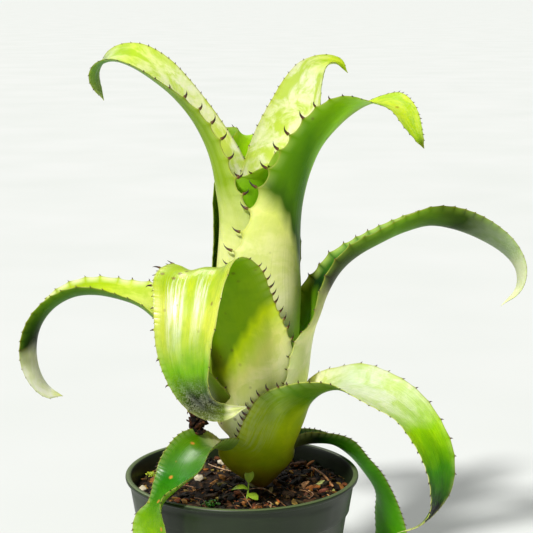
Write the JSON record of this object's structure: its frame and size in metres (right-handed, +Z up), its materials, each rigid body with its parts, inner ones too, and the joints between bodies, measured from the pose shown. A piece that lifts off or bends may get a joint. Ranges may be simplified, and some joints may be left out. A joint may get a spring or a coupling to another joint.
{
  "type": "bromeliad",
  "caption": "Tank bromeliad with toothed, arching strap leaves in a nested upright rosette, growing in bark mix in a round green nursery pot.",
  "frame": {"origin": "centre of the pot's flat base, in the plane it rests on", "axes": "+Z up along the pot's axis and the plant's height; +X to the right and +Y away as seen from the front"},
  "size_m": [0.322, 0.2098, 0.3883],
  "materials": {
    "pot_plastic": "satin dark grey-green injection-moulded plastic, slightly translucent, paler at the lip",
    "potting_mix": "damp composted bark mix, very rough, brown with rust-coloured fragments",
    "stem": "matt pale fibrous stem and roots",
    "leaf_dark": "fresh leaf, dark green, satin waxy skin with fine lengthwise veins",
    "leaf_deep": "fresh leaf, deep green with tan spots, glossy waxy skin",
    "leaf_mid": "fresh leaf, mid green, pale yellow-green sheath, satin with a thin silvery bloom beneath",
    "leaf_lime": "fresh leaf, lime green, glossy above, fine lengthwise veins, silvery scales towards the tip",
    "leaf_pale": "fresh leaf, very pale lime with soft mottling, satin",
    "dried_leaf": "dead leaf base, dark brown, crumbling and matt",
    "seedling_green": "soft young leaf, satin",
    "bark": "rust-brown bark splinters, matt",
    "perlite": "off-white porous grains, matt",
    "moss": "bright green moss and weed, matt",
    "straw": "dry straw-coloured stalk, matt"
  },
  "bodies": {
    "root": {"pot": "pot_plastic", "potting_mix": "potting_mix", "stem_and_roots": "stem", "leaf_inner": "leaf_dark", "leaf_upper_centre": "leaf_pale", "leaf_back": "leaf_pale", "leaf_upper_left": "leaf_pale", "leaf_upper_right": "leaf_mid", "leaf_left": "leaf_lime", "leaf_front_left": "leaf_lime", "leaf_right": "leaf_mid", "leaf_lower_back_right": "leaf_dark", "leaf_lower_left": "leaf_deep", "leaf_lower_right": "leaf_lime", "dried_leaf_base": "dried_leaf", "seedling": "seedling_green", "bark_chip_1": "bark", "bark_chip_2": "bark", "bark_chip_3": "bark", "bark_chip_4": "bark", "bark_chip_5": "bark", "bark_chip_6": "bark", "bark_chip_7": "bark", "bark_chip_8": "bark", "bark_chip_9": "bark", "bark_chip_10": "bark", "bark_chip_11": "bark", "bark_chip_12": "bark", "perlite_1": "perlite", "perlite_2": "perlite", "perlite_3": "perlite", "moss_tuft_left": "moss", "moss_tuft_front": "moss", "twig": "straw"}
  },
  "joints": []
}
